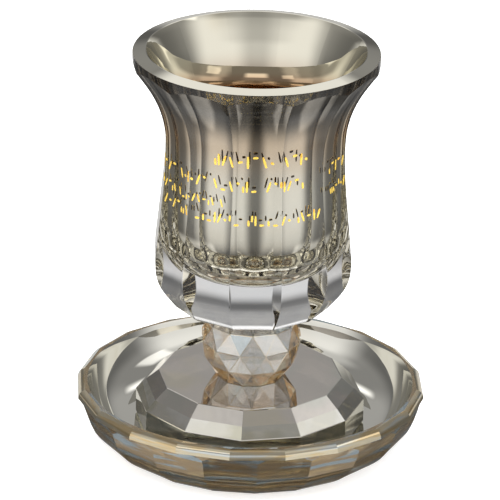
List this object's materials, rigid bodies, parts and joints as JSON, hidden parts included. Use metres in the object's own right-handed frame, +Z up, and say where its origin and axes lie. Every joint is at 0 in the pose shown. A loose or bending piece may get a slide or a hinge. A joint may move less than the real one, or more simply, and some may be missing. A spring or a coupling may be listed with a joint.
{
  "type": "kiddush cup",
  "caption": "Cut-crystal kiddush cup with a flared faceted bowl on a ball knop and bevelled foot, standing loose on a matching deep faceted saucer.",
  "frame": {"origin": "centre of the saucer's flat underside, on the surface that it stands on", "axes": "+Z up along the axis shared by cup and saucer; the front, where the lines of gold marks begin, faces -Y; +X is to the right seen from the front"},
  "size_m": [0.1168, 0.1168, 0.1403],
  "materials": {
    "saucer_crystal": "polished cut crystal, silvered inside, with a gold and grey-blue iridescent film on the facets",
    "foot_crystal": "polished cut crystal with a smoke-grey mirrored back",
    "knop_crystal": "polished faceted crystal with an amber iridescent coating",
    "bowl_crystal": "polished clear cut crystal, silvered inside, with thin gold print outside"
  },
  "bodies": {
    "root": {"saucer": "saucer_crystal", "foot": "foot_crystal", "knop": "knop_crystal", "bowl": "bowl_crystal"}
  },
  "joints": []
}
